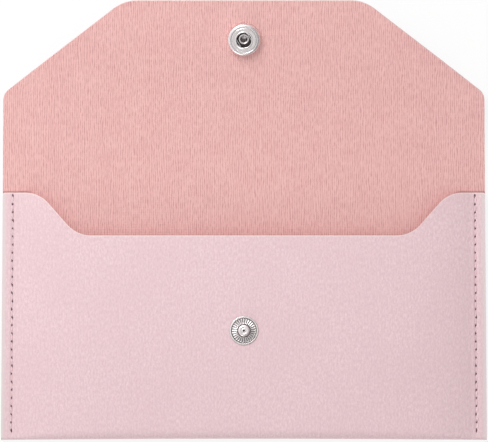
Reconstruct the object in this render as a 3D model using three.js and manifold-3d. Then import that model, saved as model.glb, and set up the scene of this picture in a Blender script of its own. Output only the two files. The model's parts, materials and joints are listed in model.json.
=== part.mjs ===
// An envelope wallet for banknotes, folded from one leatherette sheet, lying open and flat.
// Millimetres. X runs along its width, +Y towards the open flap, +Z out of the front panel.
// The sheet's fold between pocket and flap lies at Y = 0 of the wallet's own group, and its
// underside at Z = 0.

import * as THREE from "three";
import { mergeVertices } from "three/addons/utils/BufferGeometryUtils.js";
import Module from "manifold-3d";

const wasm = await Module();
wasm.setup();

// Driving dimensions of the sheet
const SHEET_THICKNESS = 1.0;
const FOLD_WIDTH = 175.6;
const BOTTOM_WIDTH = 177.0;
const POCKET_HEIGHT = 92.9;
const BOTTOM_BOW = 0.5;

// The pocket: how far it gapes inside, and the mouth cut into its front panel
const SEAM_GAP = 0.2;
const POCKET_GAP = 4.8;
const EAR_DROP = 2.8;
const EAR_WIDTH = 8.1;
const MOUTH_CURVE_WIDTH = 24.2;
const MOUTH_CURVE_DROP = 15.6;
const MOUTH_CURVE_RADIUS = 11.5;

// The flap, measured along the sheet from the fold
const FLAP_LENGTH = 68.2;
const FLAP_SIDE_LENGTH = 33.3;
const FLAP_END_WIDTH = 175.1;
const FLAP_TIP_WIDTH = 86.9;
const FLAP_SIDE_RADIUS = 5;
const FLAP_TIP_RADIUS = 14;

// The hinge that stands for the crease: half the slit between pocket and flap, and its height
const CREASE_HALF_SLIT = 0.15;
const HINGE_HEIGHT = 2.5;

// The side seams
const SEAM_INSET = 3.7;
const STITCH_PITCH = 2.93;
const FIRST_STITCH_BELOW_EAR = 1.3;
const LAST_STITCH_ABOVE_BOTTOM = 3.5;
const SEWN_EDGE_WIDTH = 5.0;
const CHANNEL_WIDTH = 1.2;
const CHANNEL_DEPTH = 0.4;
const CHANNEL_WALL = 0.15;
const THREAD_DIAMETER = 0.3;
const THREAD_CLEARANCE = 0.05;
const THREAD_DIP = 0.35;
const THREAD_REACH = 0.5;
const NEEDLE_HOLE_LENGTH = 1.1;
const NEEDLE_HOLE_WIDTH = 0.5;

// The snap: clearances, the stud on the front panel and the eyelet that holds it
const SNAP_DISTANCE = 53.0;
const CURL_BEFORE_SOCKET = 0.5;
const SEAT_CLEARANCE = 0.15;
const CLOSED_CLEARANCE = 0.3;
const STUD_DIAMETER = 10.5;
const STUD_RIM_HEIGHT = 0.35;
const STUD_RIM_ROUNDING = 0.12;
const STUD_GROOVE_WIDTH = 0.3;
const STUD_GROOVE_DEPTH = 0.15;
const STUD_FLANGE_HEIGHT = 0.7;
const FLUTE_COUNT = 32;
const FLUTE_DEPTH = 0.15;
const FLUTE_END = 0.2;
const FLUTE_OUTER_DIAMETER = 8.6;
const FLUTE_INNER_DIAMETER = 4.9;
const KNOB_DIAMETER = 4.2;
const KNOB_NECK_DIAMETER = 3.7;
const KNOB_HEIGHT = 2.35;
const KNOB_HEAD_HEIGHT = 0.7;
const KNOB_UNDERCUT_HEIGHT = 0.3;
const KNOB_ROUNDING = 0.5;
const KNOB_HOLE_DIAMETER = 0.7;
const STUD_BORE_DIAMETER = 2.5;
const STUD_BORE_DEPTH = 1.9;
const EYELET_DIAMETER = 2.3;
const EYELET_WALL = 0.3;
const EYELET_LENGTH = 1.6;
const EYELET_FLANGE_DIAMETER = 9.5;
const EYELET_FLANGE_THICKNESS = 0.5;
const POST_HOLE_CLEARANCE = 0.3;

// The socket on the inner side of the flap, its springs, and the cap and post that hold it
const SOCKET_DIAMETER = 12.0;
const SOCKET_HEIGHT = 2.6;
const SOCKET_FLOOR = 0.5;
const SOCKET_RIM_ROUNDING = 1.0;
const SOCKET_BASE_ROUNDING = 0.3;
const SOCKET_GROOVE_DIAMETER = 9.2;
const SOCKET_GROOVE_WIDTH = 0.4;
const SOCKET_GROOVE_DEPTH = 0.12;
const RECESS_DIAMETER = 5.5;
const SPRING_SLOT_DIAMETER = 8.6;
const SPRING_SLOT_BOTTOM = 1.55;
const SPRING_SLOT_TOP = 2.15;
const SPRING_WIRE_DIAMETER = 0.4;
const SPRING_WIRE_SPACING = 4.8;
const SPRING_TILT_DEG = 22;
const SPRING_WIRE_LENGTH = 6.4;
const POST_DIAMETER = 3.0;
const POST_BORE_DIAMETER = 2.2;
const POST_FLARE_DIAMETER = 4.0;
const POST_FLARE_HEIGHT = 0.4;
const POST_FLANGE_THICKNESS = 0.3;
const CAP_DIAMETER = 12.4;
const CAP_HEIGHT = 2.0;
const CAP_WALL = 0.4;
const CAP_CURL_DIAMETER = 9.8;
const CAP_CURL_THICKNESS = 0.35;
const RIVET_CLEARANCE = 0.1;

// How finely the round shapes are divided
const FOLD_STEPS = 8;
const CORNER_STEPS = 5;
const MOUTH_ARC_STEPS = 6;
const BEND_STEP = 4;
const ROUND_SEGMENTS = 40;
const SMALL_ROUND_SEGMENTS = 20;
const WIRE_SEGMENTS = 8;

// Sizes that follow from the ones above
const HALF_FOLD_WIDTH = FOLD_WIDTH / 2;
const SEAM_X = HALF_FOLD_WIDTH - SEAM_INSET;
const PINCH_X = HALF_FOLD_WIDTH - SEWN_EDGE_WIDTH;
const EAR_INNER_X = HALF_FOLD_WIDTH - EAR_WIDTH;
const LIP_END_X = EAR_INNER_X - MOUTH_CURVE_WIDTH;
const FRONT_TOP_Z = 2 * SHEET_THICKNESS + POCKET_GAP;
const SEAM_TOP_Z = 2 * SHEET_THICKNESS + SEAM_GAP;
const SNAP_STACK = STUD_FLANGE_HEIGHT + CLOSED_CLEARANCE + SOCKET_HEIGHT + SEAT_CLEARANCE;
const CURL_LENGTH = SNAP_DISTANCE - SOCKET_DIAMETER / 2 - CURL_BEFORE_SOCKET;

// The curl of the flap, chosen so that the closed snap lies level on the stud: the height of the
// flap's inner side over the stud grows with the angle, and bisection finds the one that fits.
function curlAngle() {
  let low = 0.001;
  let high = Math.PI / 2;
  while (high - low > 1e-9) {
    const angle = (low + high) / 2;
    const rise = (CURL_LENGTH / angle) * (1 - Math.cos(angle));
    const height = HINGE_HEIGHT + (HINGE_HEIGHT - SHEET_THICKNESS) * Math.cos(angle) + rise;
    if (height < FRONT_TOP_Z + SNAP_STACK) low = angle;
    else high = angle;
  }
  return low;
}

const CURL_ANGLE = curlAngle();
const CURL_RADIUS = CURL_LENGTH / CURL_ANGLE;
const SNAP_ALONG_FLAP =
  SNAP_DISTANCE +
  CURL_LENGTH +
  (HINGE_HEIGHT - SHEET_THICKNESS - CURL_RADIUS) * Math.sin(CURL_ANGLE);
export const CLOSED_ANGLE_DEG = 180 - THREE.MathUtils.radToDeg(CURL_ANGLE);

// Solids and meshes

function toSolid(geometry) {
  const bare = geometry.clone();
  bare.deleteAttribute("normal");
  bare.deleteAttribute("uv");
  const merged = mergeVertices(bare, 1e-4);
  return new wasm.Manifold(
    new wasm.Mesh({
      numProp: 3,
      vertProperties: merged.attributes.position.array,
      triVerts: new Uint32Array(merged.index.array),
    }),
  );
}

function toGeometry(solid) {
  const mesh = solid.getMesh();
  const geometry = new THREE.BufferGeometry();
  geometry.setAttribute("position", new THREE.BufferAttribute(mesh.vertProperties, 3));
  geometry.setIndex(new THREE.BufferAttribute(mesh.triVerts, 1));
  return geometry;
}

function cut(geometry, cutters) {
  const solid = cutters.reduce((rest, cutter) => rest.subtract(toSolid(cutter)), toSolid(geometry));
  return toGeometry(solid);
}

function piece(name, geometry, material) {
  const flat = geometry.index ? geometry.toNonIndexed() : geometry;
  flat.computeVertexNormals();
  const mesh = new THREE.Mesh(flat, material);
  mesh.name = name;
  return mesh;
}

// A closed skin over a row of rings with as many points each. The first ring's outline, in the
// plane given by its two axes, gives the triangles that close both ends.
function loft(rings, across, up) {
  const outline = rings[0].map((point) => new THREE.Vector2(point[across], point[up]));
  const clockwise = THREE.ShapeUtils.isClockWise(outline);
  const endTriangles = THREE.ShapeUtils.triangulateShape(outline, []).map((triangle) =>
    clockwise ? [...triangle].reverse() : triangle,
  );
  const size = rings[0].length;
  const indices = [];
  for (let i = 0; i + 1 < rings.length; i++) {
    for (let j = 0; j < size; j++) {
      const here = i * size + j;
      const beside = i * size + ((j + 1) % size);
      indices.push(here, beside, beside + size);
      indices.push(here, beside + size, here + size);
    }
  }
  const last = (rings.length - 1) * size;
  for (const [a, b, c] of endTriangles) {
    indices.push(c, b, a);
    indices.push(last + a, last + b, last + c);
  }
  const geometry = new THREE.BufferGeometry().setFromPoints(rings.flat());
  geometry.setIndex(indices);
  return geometry;
}

// A path of corners [x, y, radius], with each corner of some radius replaced by an arc.
function roundCorners(corners, steps) {
  return corners.flatMap(([x, y, radius], i) => {
    const corner = new THREE.Vector2(x, y);
    if (!radius) return [corner];
    const before = corners[(i + corners.length - 1) % corners.length];
    const after = corners[(i + 1) % corners.length];
    const back = new THREE.Vector2(before[0] - x, before[1] - y).normalize();
    const ahead = new THREE.Vector2(after[0] - x, after[1] - y).normalize();
    const halfAngle = Math.acos(back.dot(ahead)) / 2;
    const middle = back.clone().add(ahead).normalize();
    const centre = corner.clone().addScaledVector(middle, radius / Math.sin(halfAngle));
    const start = corner.clone().addScaledVector(back, radius / Math.tan(halfAngle));
    const turn = (2 * halfAngle - Math.PI) * Math.sign(back.cross(ahead));
    const arc = [];
    for (let k = 0; k <= steps; k++) {
      arc.push(start.clone().rotateAround(centre, (turn * k) / steps));
    }
    return arc;
  });
}

// A turned piece on the Z axis, from its outline in radius and height.
function turned(outline, segments) {
  const geometry = new THREE.LatheGeometry(outline, segments);
  geometry.rotateX(Math.PI / 2);
  return geometry;
}

function closedOutline(corners, steps) {
  const outline = roundCorners(corners, steps);
  outline.push(outline[0].clone());
  return outline;
}

// The pocket sheet

// The pocket widens a little from the fold to its bottom edge.
function widthScale(y) {
  return 1 + ((BOTTOM_WIDTH / FOLD_WIDTH - 1) * -y) / POCKET_HEIGHT;
}

function gapInside(x) {
  const crown = Math.max(0, 1 - (Math.abs(x) / PINCH_X) ** 6);
  return SEAM_GAP + (POCKET_GAP - SEAM_GAP) * crown;
}

function bottomEdgeY(x) {
  return -POCKET_HEIGHT + BOTTOM_BOW * (1 - (x / HALF_FOLD_WIDTH) ** 2);
}

// The right half of the mouth: from the middle of the lip, up the curve, to the ear. The curve is
// two equal arcs joined by their common tangent.
function mouthPoints() {
  const rise = 2 * MOUTH_CURVE_RADIUS - MOUTH_CURVE_DROP;
  const between = Math.hypot(MOUTH_CURVE_WIDTH, rise);
  const slope = Math.asin((2 * MOUTH_CURVE_RADIUS) / between) - Math.atan2(rise, MOUTH_CURVE_WIDTH);
  const points = [];
  for (let k = 0; k <= MOUTH_ARC_STEPS; k++) {
    const angle = (slope * k) / MOUTH_ARC_STEPS;
    points.push({
      x: LIP_END_X + MOUTH_CURVE_RADIUS * Math.sin(angle),
      y: -EAR_DROP - MOUTH_CURVE_DROP + MOUTH_CURVE_RADIUS * (1 - Math.cos(angle)),
    });
  }
  for (let k = MOUTH_ARC_STEPS; k >= 0; k--) {
    const angle = (slope * k) / MOUTH_ARC_STEPS;
    points.push({
      x: EAR_INNER_X - MOUTH_CURVE_RADIUS * Math.sin(angle),
      y: -EAR_DROP - MOUTH_CURVE_RADIUS * (1 - Math.cos(angle)),
    });
  }
  return points;
}

// Where the folded section is drawn, from right to left: its x, the front panel's upper edge there,
// and how deep the stitch channels press into both outer faces.
function pocketStations() {
  const lip = -EAR_DROP - MOUTH_CURVE_DROP;
  const right = [0.3, 0.55, 0.8].map((share) => ({ x: share * LIP_END_X, y: lip, pressed: 0 }));
  for (const { x, y } of mouthPoints()) right.push({ x, y, pressed: 0 });
  const half = CHANNEL_WIDTH / 2;
  const ear = [
    [(EAR_INNER_X + PINCH_X) / 2, 0],
    [PINCH_X, 0],
    [SEAM_X - half, 0],
    [SEAM_X - half + CHANNEL_WALL, CHANNEL_DEPTH],
    [SEAM_X + half - CHANNEL_WALL, CHANNEL_DEPTH],
    [SEAM_X + half, 0],
    [HALF_FOLD_WIDTH, 0],
  ];
  for (const [x, pressed] of ear) right.push({ x, y: -EAR_DROP, pressed });
  const left = right.map(({ x, y, pressed }) => ({ x: -x, y, pressed })).reverse();
  return [...left, { x: 0, y: lip, pressed: 0 }, ...right].reverse();
}

// The folded sheet's section at one station: back panel, round bottom fold, front panel.
function pocketSection({ x, y: mouthY, pressed }) {
  const inner = gapInside(x) / 2;
  const outer = inner + SHEET_THICKNESS;
  const foldY = bottomEdgeY(x) + outer;
  const at = (y, z) => new THREE.Vector3(x * widthScale(y), y, z);
  const arc = (radius, turnsBack) => {
    const points = [];
    for (let k = 0; k <= FOLD_STEPS; k++) {
      const step = turnsBack ? FOLD_STEPS - k : k;
      const angle = (Math.PI * step) / FOLD_STEPS;
      points.push(at(foldY - radius * Math.sin(angle), outer - radius * Math.cos(angle)));
    }
    return points;
  };
  return [
    at(-CREASE_HALF_SLIT, pressed),
    ...arc(outer - pressed, false),
    at(mouthY, 2 * outer - pressed),
    at(mouthY, outer + inner),
    ...arc(inner, true),
    at(-CREASE_HALF_SLIT, SHEET_THICKNESS),
  ];
}

function stitchHoles() {
  const start = -EAR_DROP - FIRST_STITCH_BELOW_EAR;
  const length = POCKET_HEIGHT - LAST_STITCH_ABOVE_BOTTOM + start;
  const spans = Math.round(length / STITCH_PITCH);
  return Array.from({ length: spans + 1 }, (_, i) => start - (length * i) / spans);
}

function seamPoint(side, y, z) {
  return new THREE.Vector3(side * SEAM_X * widthScale(y), y, z);
}

function pocketSheet() {
  const rings = pocketStations().map(pocketSection);
  const skin = loft(rings, "y", "z");
  const cutters = [];
  for (const side of [-1, 1]) {
    for (const y of stitchHoles()) {
      const slot = new THREE.BoxGeometry(NEEDLE_HOLE_WIDTH, NEEDLE_HOLE_LENGTH, 2 * SEAM_TOP_Z);
      const { x } = seamPoint(side, y, 0);
      cutters.push(slot.translate(x, y, SEAM_TOP_Z / 2));
    }
  }
  const eyeletHole = new THREE.CylinderGeometry(
    EYELET_DIAMETER / 2 + POST_HOLE_CLEARANCE,
    EYELET_DIAMETER / 2 + POST_HOLE_CLEARANCE,
    2 * SHEET_THICKNESS,
    SMALL_ROUND_SEGMENTS,
  );
  eyeletHole.rotateX(Math.PI / 2);
  cutters.push(eyeletHole.translate(0, -SNAP_DISTANCE, FRONT_TOP_Z - SHEET_THICKNESS / 2));
  return cut(skin, cutters);
}

// The flap sheet

// A point of the flap: x across, how far it is along the sheet's inner side, and its height in
// the sheet's thickness. The flap leaves the fold level, curls up, and ends straight.
function flapPoint(x, along, height) {
  const angle = Math.min(along / CURL_RADIUS, CURL_ANGLE);
  const straight = Math.max(0, along - CURL_LENGTH);
  const radius = CURL_RADIUS + SHEET_THICKNESS - height;
  return new THREE.Vector3(
    x,
    radius * Math.sin(angle) + straight * Math.cos(angle),
    SHEET_THICKNESS + CURL_RADIUS - radius * Math.cos(angle) + straight * Math.sin(angle),
  );
}

// The right edge of the flap laid flat, from the fold to the tip's straight edge.
function flapEdge() {
  const corners = [
    [HALF_FOLD_WIDTH, CREASE_HALF_SLIT, 0],
    [FLAP_END_WIDTH / 2, FLAP_SIDE_LENGTH, FLAP_SIDE_RADIUS],
    [FLAP_TIP_WIDTH / 2, FLAP_LENGTH, FLAP_TIP_RADIUS],
    [0, FLAP_LENGTH, 0],
  ];
  const edge = roundCorners(corners, CORNER_STEPS).slice(0, -1);
  return edge.flatMap((point, i) => {
    if (i === 0) return [point];
    const steps = Math.ceil(Math.abs(point.y - edge[i - 1].y) / BEND_STEP);
    return Array.from({ length: steps }, (_, k) => edge[i - 1].clone().lerp(point, (k + 1) / steps));
  });
}

function flapSheet() {
  const rings = flapEdge().map(({ x, y }) => [
    flapPoint(-x, y, 0),
    flapPoint(-x, y, SHEET_THICKNESS),
    flapPoint(x, y, SHEET_THICKNESS),
    flapPoint(x, y, 0),
  ]);
  const skin = loft(rings, "x", "z");
  const postHole = new THREE.CylinderGeometry(
    POST_DIAMETER / 2 + POST_HOLE_CLEARANCE,
    POST_DIAMETER / 2 + POST_HOLE_CLEARANCE,
    4 * SHEET_THICKNESS,
    SMALL_ROUND_SEGMENTS,
  );
  postHole.rotateX(Math.PI / 2 + CURL_ANGLE);
  const seat = flapPoint(0, SNAP_ALONG_FLAP, SHEET_THICKNESS / 2);
  return cut(skin, [postHole.translate(seat.x, seat.y, seat.z)]);
}

// The threads of a seam. Each lies in its channel and dips into every needle hole.
function seamThread(side, restZ, dip) {
  const holes = stitchHoles();
  const path = [seamPoint(side, holes[0], restZ + dip)];
  for (let i = 1; i < holes.length; i++) {
    path.push(seamPoint(side, holes[i - 1] - THREAD_REACH, restZ));
    path.push(seamPoint(side, (holes[i - 1] + holes[i]) / 2, restZ));
    path.push(seamPoint(side, holes[i] + THREAD_REACH, restZ));
    path.push(seamPoint(side, holes[i], restZ + dip));
  }
  const radius = THREAD_DIAMETER / 2;
  const rings = path.map(({ x, y, z }) => [
    new THREE.Vector3(x - radius, y, z),
    new THREE.Vector3(x, y, z - radius),
    new THREE.Vector3(x + radius, y, z),
    new THREE.Vector3(x, y, z + radius),
  ]);
  return loft(rings, "x", "z");
}

// The snap. Each piece is turned on its own axis, with Z = 0 at the leather that it sits on.

function studGeometry() {
  const rim = STUD_DIAMETER / 2;
  const flutes = [FLUTE_INNER_DIAMETER / 2, FLUTE_OUTER_DIAMETER / 2];
  const pressed = [flutes[0] + FLUTE_END, flutes[1] - FLUTE_END];
  const grooveEnd = flutes[1] + STUD_GROOVE_WIDTH;
  const grooveZ = STUD_RIM_HEIGHT - STUD_GROOVE_DEPTH;
  const neck = KNOB_NECK_DIAMETER / 2;
  const headZ = KNOB_HEIGHT - KNOB_HEAD_HEIGHT;
  const rise = (radius) => {
    const share = (flutes[1] - radius) / (flutes[1] - flutes[0]);
    return STUD_RIM_HEIGHT + (STUD_FLANGE_HEIGHT - STUD_RIM_HEIGHT) * share;
  };
  const outline = closedOutline(
    [
      [STUD_BORE_DIAMETER / 2, 0, 0],
      [rim, 0, 0],
      [rim, STUD_RIM_HEIGHT, STUD_RIM_ROUNDING],
      [grooveEnd, STUD_RIM_HEIGHT, 0],
      [grooveEnd, grooveZ, 0],
      [flutes[1], grooveZ, 0],
      [flutes[1], STUD_RIM_HEIGHT, 0],
      [pressed[1], rise(pressed[1]), 0],
      [pressed[0], rise(pressed[0]), 0],
      [flutes[0], STUD_FLANGE_HEIGHT, 0],
      [neck, STUD_FLANGE_HEIGHT, 0],
      [neck, headZ - KNOB_UNDERCUT_HEIGHT, 0],
      [KNOB_DIAMETER / 2, headZ, 0],
      [KNOB_DIAMETER / 2, KNOB_HEIGHT, KNOB_ROUNDING],
      [KNOB_HOLE_DIAMETER / 2, KNOB_HEIGHT, 0],
      [KNOB_HOLE_DIAMETER / 2, STUD_BORE_DEPTH, 0],
      [STUD_BORE_DIAMETER / 2, STUD_BORE_DEPTH, 0],
    ],
    2,
  );
  const geometry = turned(outline, 2 * FLUTE_COUNT);
  pressFlutes(geometry, pressed[0], pressed[1]);
  return geometry;
}

// Every other radial line of the flange is pressed down between two radii.
function pressFlutes(geometry, innerRadius, outerRadius) {
  const position = geometry.attributes.position;
  for (let i = 0; i < position.count; i++) {
    const radius = Math.hypot(position.getX(i), position.getY(i));
    const turns = Math.atan2(position.getY(i), position.getX(i)) / (2 * Math.PI);
    const line = Math.round(turns * 2 * FLUTE_COUNT);
    const inside = radius > innerRadius - 0.01 && radius < outerRadius + 0.01;
    if (inside && line % 2 !== 0) position.setZ(i, position.getZ(i) - FLUTE_DEPTH);
  }
}

function eyeletGeometry() {
  const tube = EYELET_DIAMETER / 2;
  const bottom = -SHEET_THICKNESS - EYELET_FLANGE_THICKNESS;
  const outline = closedOutline(
    [
      [tube - EYELET_WALL, bottom, 0.2],
      [EYELET_FLANGE_DIAMETER / 2, bottom, 0.2],
      [EYELET_FLANGE_DIAMETER / 2, -SHEET_THICKNESS, 0],
      [tube, -SHEET_THICKNESS, 0],
      [tube, EYELET_LENGTH, 0],
      [tube - EYELET_WALL, EYELET_LENGTH, 0],
    ],
    2,
  );
  return turned(outline, SMALL_ROUND_SEGMENTS);
}

function socketGeometry() {
  const outer = SOCKET_DIAMETER / 2;
  const recess = RECESS_DIAMETER / 2;
  const slot = SPRING_SLOT_DIAMETER / 2;
  const top = SEAT_CLEARANCE + SOCKET_HEIGHT;
  const groove = SOCKET_GROOVE_DIAMETER / 2;
  const outline = closedOutline(
    [
      [POST_DIAMETER / 2 + SEAT_CLEARANCE, SEAT_CLEARANCE, 0],
      [outer, SEAT_CLEARANCE, SOCKET_BASE_ROUNDING],
      [outer, top, SOCKET_RIM_ROUNDING],
      [groove + SOCKET_GROOVE_WIDTH / 2, top, 0],
      [groove, top - SOCKET_GROOVE_DEPTH, 0],
      [groove - SOCKET_GROOVE_WIDTH / 2, top, 0],
      [recess, top, SOCKET_BASE_ROUNDING],
      [recess, SEAT_CLEARANCE + SPRING_SLOT_TOP, 0],
      [slot, SEAT_CLEARANCE + SPRING_SLOT_TOP, 0],
      [slot, SEAT_CLEARANCE + SPRING_SLOT_BOTTOM, 0],
      [recess, SEAT_CLEARANCE + SPRING_SLOT_BOTTOM, 0],
      [recess, SEAT_CLEARANCE + SOCKET_FLOOR, 0],
      [POST_DIAMETER / 2 + SEAT_CLEARANCE, SEAT_CLEARANCE + SOCKET_FLOOR, 0],
    ],
    3,
  );
  return turned(outline, ROUND_SEGMENTS);
}

function springGeometry(side) {
  const radius = SPRING_WIRE_DIAMETER / 2;
  const wire = new THREE.CylinderGeometry(radius, radius, SPRING_WIRE_LENGTH, WIRE_SEGMENTS);
  const middle = SEAT_CLEARANCE + (SPRING_SLOT_BOTTOM + SPRING_SLOT_TOP) / 2;
  wire.translate((side * SPRING_WIRE_SPACING) / 2, 0, middle);
  return wire.rotateZ(THREE.MathUtils.degToRad(SPRING_TILT_DEG));
}

// The cap is half an ellipsoid, and so is its hollow: the hollow's radius at a depth below the seat.
function capHollowRadius(depth) {
  return (CAP_DIAMETER / 2 - CAP_WALL) * Math.sqrt(1 - (depth / (CAP_HEIGHT - CAP_WALL)) ** 2);
}

function capGeometry() {
  const rim = CAP_DIAMETER / 2;
  const seat = -SHEET_THICKNESS - SEAT_CLEARANCE;
  const curlShare = CAP_CURL_THICKNESS / (CAP_HEIGHT - CAP_WALL);
  const outline = [];
  for (let k = 0; k <= 8; k++) {
    const angle = (Math.PI / 2) * (k / 8);
    outline.push(new THREE.Vector2(rim * Math.sin(angle), seat - CAP_HEIGHT * Math.cos(angle)));
  }
  outline.push(new THREE.Vector2(CAP_CURL_DIAMETER / 2, seat));
  outline.push(new THREE.Vector2(CAP_CURL_DIAMETER / 2, seat - CAP_CURL_THICKNESS));
  for (let k = 6; k >= 0; k--) {
    const angle = Math.acos(curlShare) * (k / 6);
    const depth = (CAP_HEIGHT - CAP_WALL) * Math.cos(angle);
    outline.push(new THREE.Vector2(capHollowRadius(depth), seat - depth));
  }
  return turned(outline, ROUND_SEGMENTS);
}

function capPostGeometry() {
  const tube = POST_DIAMETER / 2;
  const bore = POST_BORE_DIAMETER / 2;
  const flare = POST_FLARE_DIAMETER / 2;
  const flangeDepth = CAP_CURL_THICKNESS + RIVET_CLEARANCE + POST_FLANGE_THICKNESS;
  const flangeRadius = capHollowRadius(flangeDepth) - RIVET_CLEARANCE;
  const flangeBottom = -SHEET_THICKNESS - SEAT_CLEARANCE - flangeDepth;
  const flangeTop = flangeBottom + POST_FLANGE_THICKNESS;
  const flareBottom = SEAT_CLEARANCE + SOCKET_FLOOR + RIVET_CLEARANCE;
  const flareTop = flareBottom + POST_FLARE_HEIGHT;
  const outline = closedOutline(
    [
      [bore, flangeBottom, 0],
      [flangeRadius, flangeBottom, 0],
      [flangeRadius, flangeTop, 0],
      [tube, flangeTop, 0],
      [tube, flareBottom, 0],
      [flare, flareBottom, 0],
      [flare, flareTop, 0.3],
      [bore, flareTop, 0.1],
    ],
    3,
  );
  return turned(outline, SMALL_ROUND_SEGMENTS);
}

// Materials and assembly

const leatherette = new THREE.MeshStandardMaterial({ color: 0xe8cdd1, roughness: 0.7 });
const backing = new THREE.MeshStandardMaterial({ color: 0xeab8b5, roughness: 0.9 });
const thread = new THREE.MeshStandardMaterial({ color: 0xf0d9dc, roughness: 0.8 });
const nickel = new THREE.MeshStandardMaterial({ color: 0xc9c9cc, roughness: 0.25, metalness: 1 });
const steel = new THREE.MeshStandardMaterial({ color: 0xb4b4b8, roughness: 0.3, metalness: 1 });

function sewnPocket() {
  const pocket = new THREE.Group();
  pocket.add(piece("pocket_sheet", pocketSheet(), leatherette));
  const lift = CHANNEL_DEPTH - THREAD_CLEARANCE - THREAD_DIAMETER / 2;
  for (const [word, side] of [
    ["left", -1],
    ["right", 1],
  ]) {
    const needle = seamThread(side, SEAM_TOP_Z - lift, -THREAD_DIP);
    const bobbin = seamThread(side, lift, THREAD_DIP);
    pocket.add(piece(`${word}_needle_thread`, needle, thread));
    pocket.add(piece(`${word}_bobbin_thread`, bobbin, thread));
  }
  const stud = new THREE.Group();
  stud.add(piece("snap_stud", studGeometry(), nickel));
  stud.add(piece("snap_stud_post", eyeletGeometry(), nickel));
  stud.position.set(0, -SNAP_DISTANCE, FRONT_TOP_Z);
  pocket.add(stud);
  return pocket;
}

function snapFlap() {
  const flap = new THREE.Group();
  flap.add(piece("flap_sheet", flapSheet(), backing));
  const snap = new THREE.Group();
  snap.add(piece("snap_socket", socketGeometry(), nickel));
  snap.add(piece("socket_spring_left", springGeometry(-1), steel));
  snap.add(piece("socket_spring_right", springGeometry(1), steel));
  snap.add(piece("snap_cap", capGeometry(), nickel));
  snap.add(piece("snap_cap_post", capPostGeometry(), nickel));
  snap.position.copy(flapPoint(0, SNAP_ALONG_FLAP, SHEET_THICKNESS));
  snap.rotation.x = CURL_ANGLE;
  flap.add(snap);
  return flap;
}

const wallet = new THREE.Group();
wallet.add(sewnPocket(), snapFlap());

// The origin lies on the ground under the middle of the open wallet.
const tipY = flapPoint(0, FLAP_LENGTH, 0).y;
export const FOLD_Y = (POCKET_HEIGHT - tipY) / 2;
wallet.position.y = FOLD_Y;

export default wallet;
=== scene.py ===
"""An envelope wallet for banknotes in pink leatherette, lying open on a white ground.

The leatherette is one sheet, bent at the crease between pocket and flap. Lengths are written in
millimetres and turned into metres where a mesh is made.
"""
import json
import math
import random

import bpy
from mathutils import Matrix, Vector


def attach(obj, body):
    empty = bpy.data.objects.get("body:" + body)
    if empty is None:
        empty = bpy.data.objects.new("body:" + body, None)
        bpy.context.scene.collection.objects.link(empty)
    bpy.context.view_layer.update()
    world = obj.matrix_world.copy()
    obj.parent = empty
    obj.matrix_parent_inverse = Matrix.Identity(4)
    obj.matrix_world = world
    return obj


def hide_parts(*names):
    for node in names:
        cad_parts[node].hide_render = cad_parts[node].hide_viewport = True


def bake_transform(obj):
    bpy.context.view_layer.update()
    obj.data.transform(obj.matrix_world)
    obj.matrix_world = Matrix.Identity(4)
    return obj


MM = 0.001
SIDES = (("left", -1), ("right", 1))
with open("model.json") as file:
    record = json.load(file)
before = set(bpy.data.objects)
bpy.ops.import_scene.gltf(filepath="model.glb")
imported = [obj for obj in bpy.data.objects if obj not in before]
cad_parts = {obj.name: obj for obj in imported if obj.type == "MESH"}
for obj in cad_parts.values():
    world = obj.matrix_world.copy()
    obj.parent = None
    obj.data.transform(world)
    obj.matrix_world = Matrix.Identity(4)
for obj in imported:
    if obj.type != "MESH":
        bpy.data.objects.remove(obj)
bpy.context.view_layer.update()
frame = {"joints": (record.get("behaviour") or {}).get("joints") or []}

# The frame's hinge, at the crease
HINGE = frame["joints"][0]
FOLD_Y = HINGE["pos_m"][1] / MM
HINGE_Z = HINGE["pos_m"][2] / MM
CURL_ANGLE = math.radians(180 - HINGE["range_deg"][1])

# The sheet, in the sizes of the CAD part
THICKNESS = 1.0
FOLD_WIDTH = 175.6
BOTTOM_WIDTH = 177.0
POCKET_HEIGHT = 92.9
BOTTOM_BOW = 0.5
SEAM_GAP = 0.2
POCKET_GAP = 4.8
EAR_DROP = 2.8
EAR_WIDTH = 8.1
EAR_CORNER_RADIUS = 0.8
MOUTH_CURVE_WIDTH = 24.2
MOUTH_CURVE_DROP = 15.6
MOUTH_CURVE_RADIUS = 11.5
FLAP_LENGTH = 68.2
FLAP_SIDE_LENGTH = 33.3
FLAP_END_WIDTH = 175.1
FLAP_TIP_WIDTH = 86.9
FLAP_SIDE_RADIUS = 5.0
FLAP_TIP_RADIUS = 14.0
SEWN_EDGE_WIDTH = 5.0

# The rows of the sheet's mesh
BACK_ROWS = 50
FOLD_ROWS = 20
FRONT_ROWS = 60
FLAP_ROW_SPACING = 1.4
CREASE_ROW_DISTANCES = [0.25 * k for k in range(1, 9)]
MOUTH_ROW_SHARES = [0.988, 0.994, 0.998, 1.0]
MOUTH_NEARNESS = [0.0, 0.5, 1.0, 1.0]

# Half the length of the holes in the sheet that the snap hides
POST_HOLE_HALF = 1.6
EYELET_HOLE_HALF = 1.4

# The seams
SEAM_INSET = 3.7
STITCH_PITCH = 2.93
FIRST_STITCH_BELOW_EAR = 1.3
LAST_STITCH_ABOVE_BOTTOM = 3.5
VALLEY_DEPTH = 0.4
VALLEY_WIDTH = 0.55
NEEDLE_HOLE_WIDTH = 0.56
NEEDLE_HOLE_LENGTH = 1.6
THREAD_DIAMETER = 0.34
THREAD_DIP = 0.5
NEEDLE_THREAD_LIFT = 0.1
TWIST_PITCH = 0.9
STITCH_SWAY = 0.05
STITCH_BOW = 0.1
STITCH_ARCH = 0.04
BACK_TACK_STITCHES = 3
BACK_TACK_LIFT = 0.1
UPPER_BACK_TACK_OUT = 0.34
LOWER_BACK_TACK_OUT = 0.3

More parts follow.
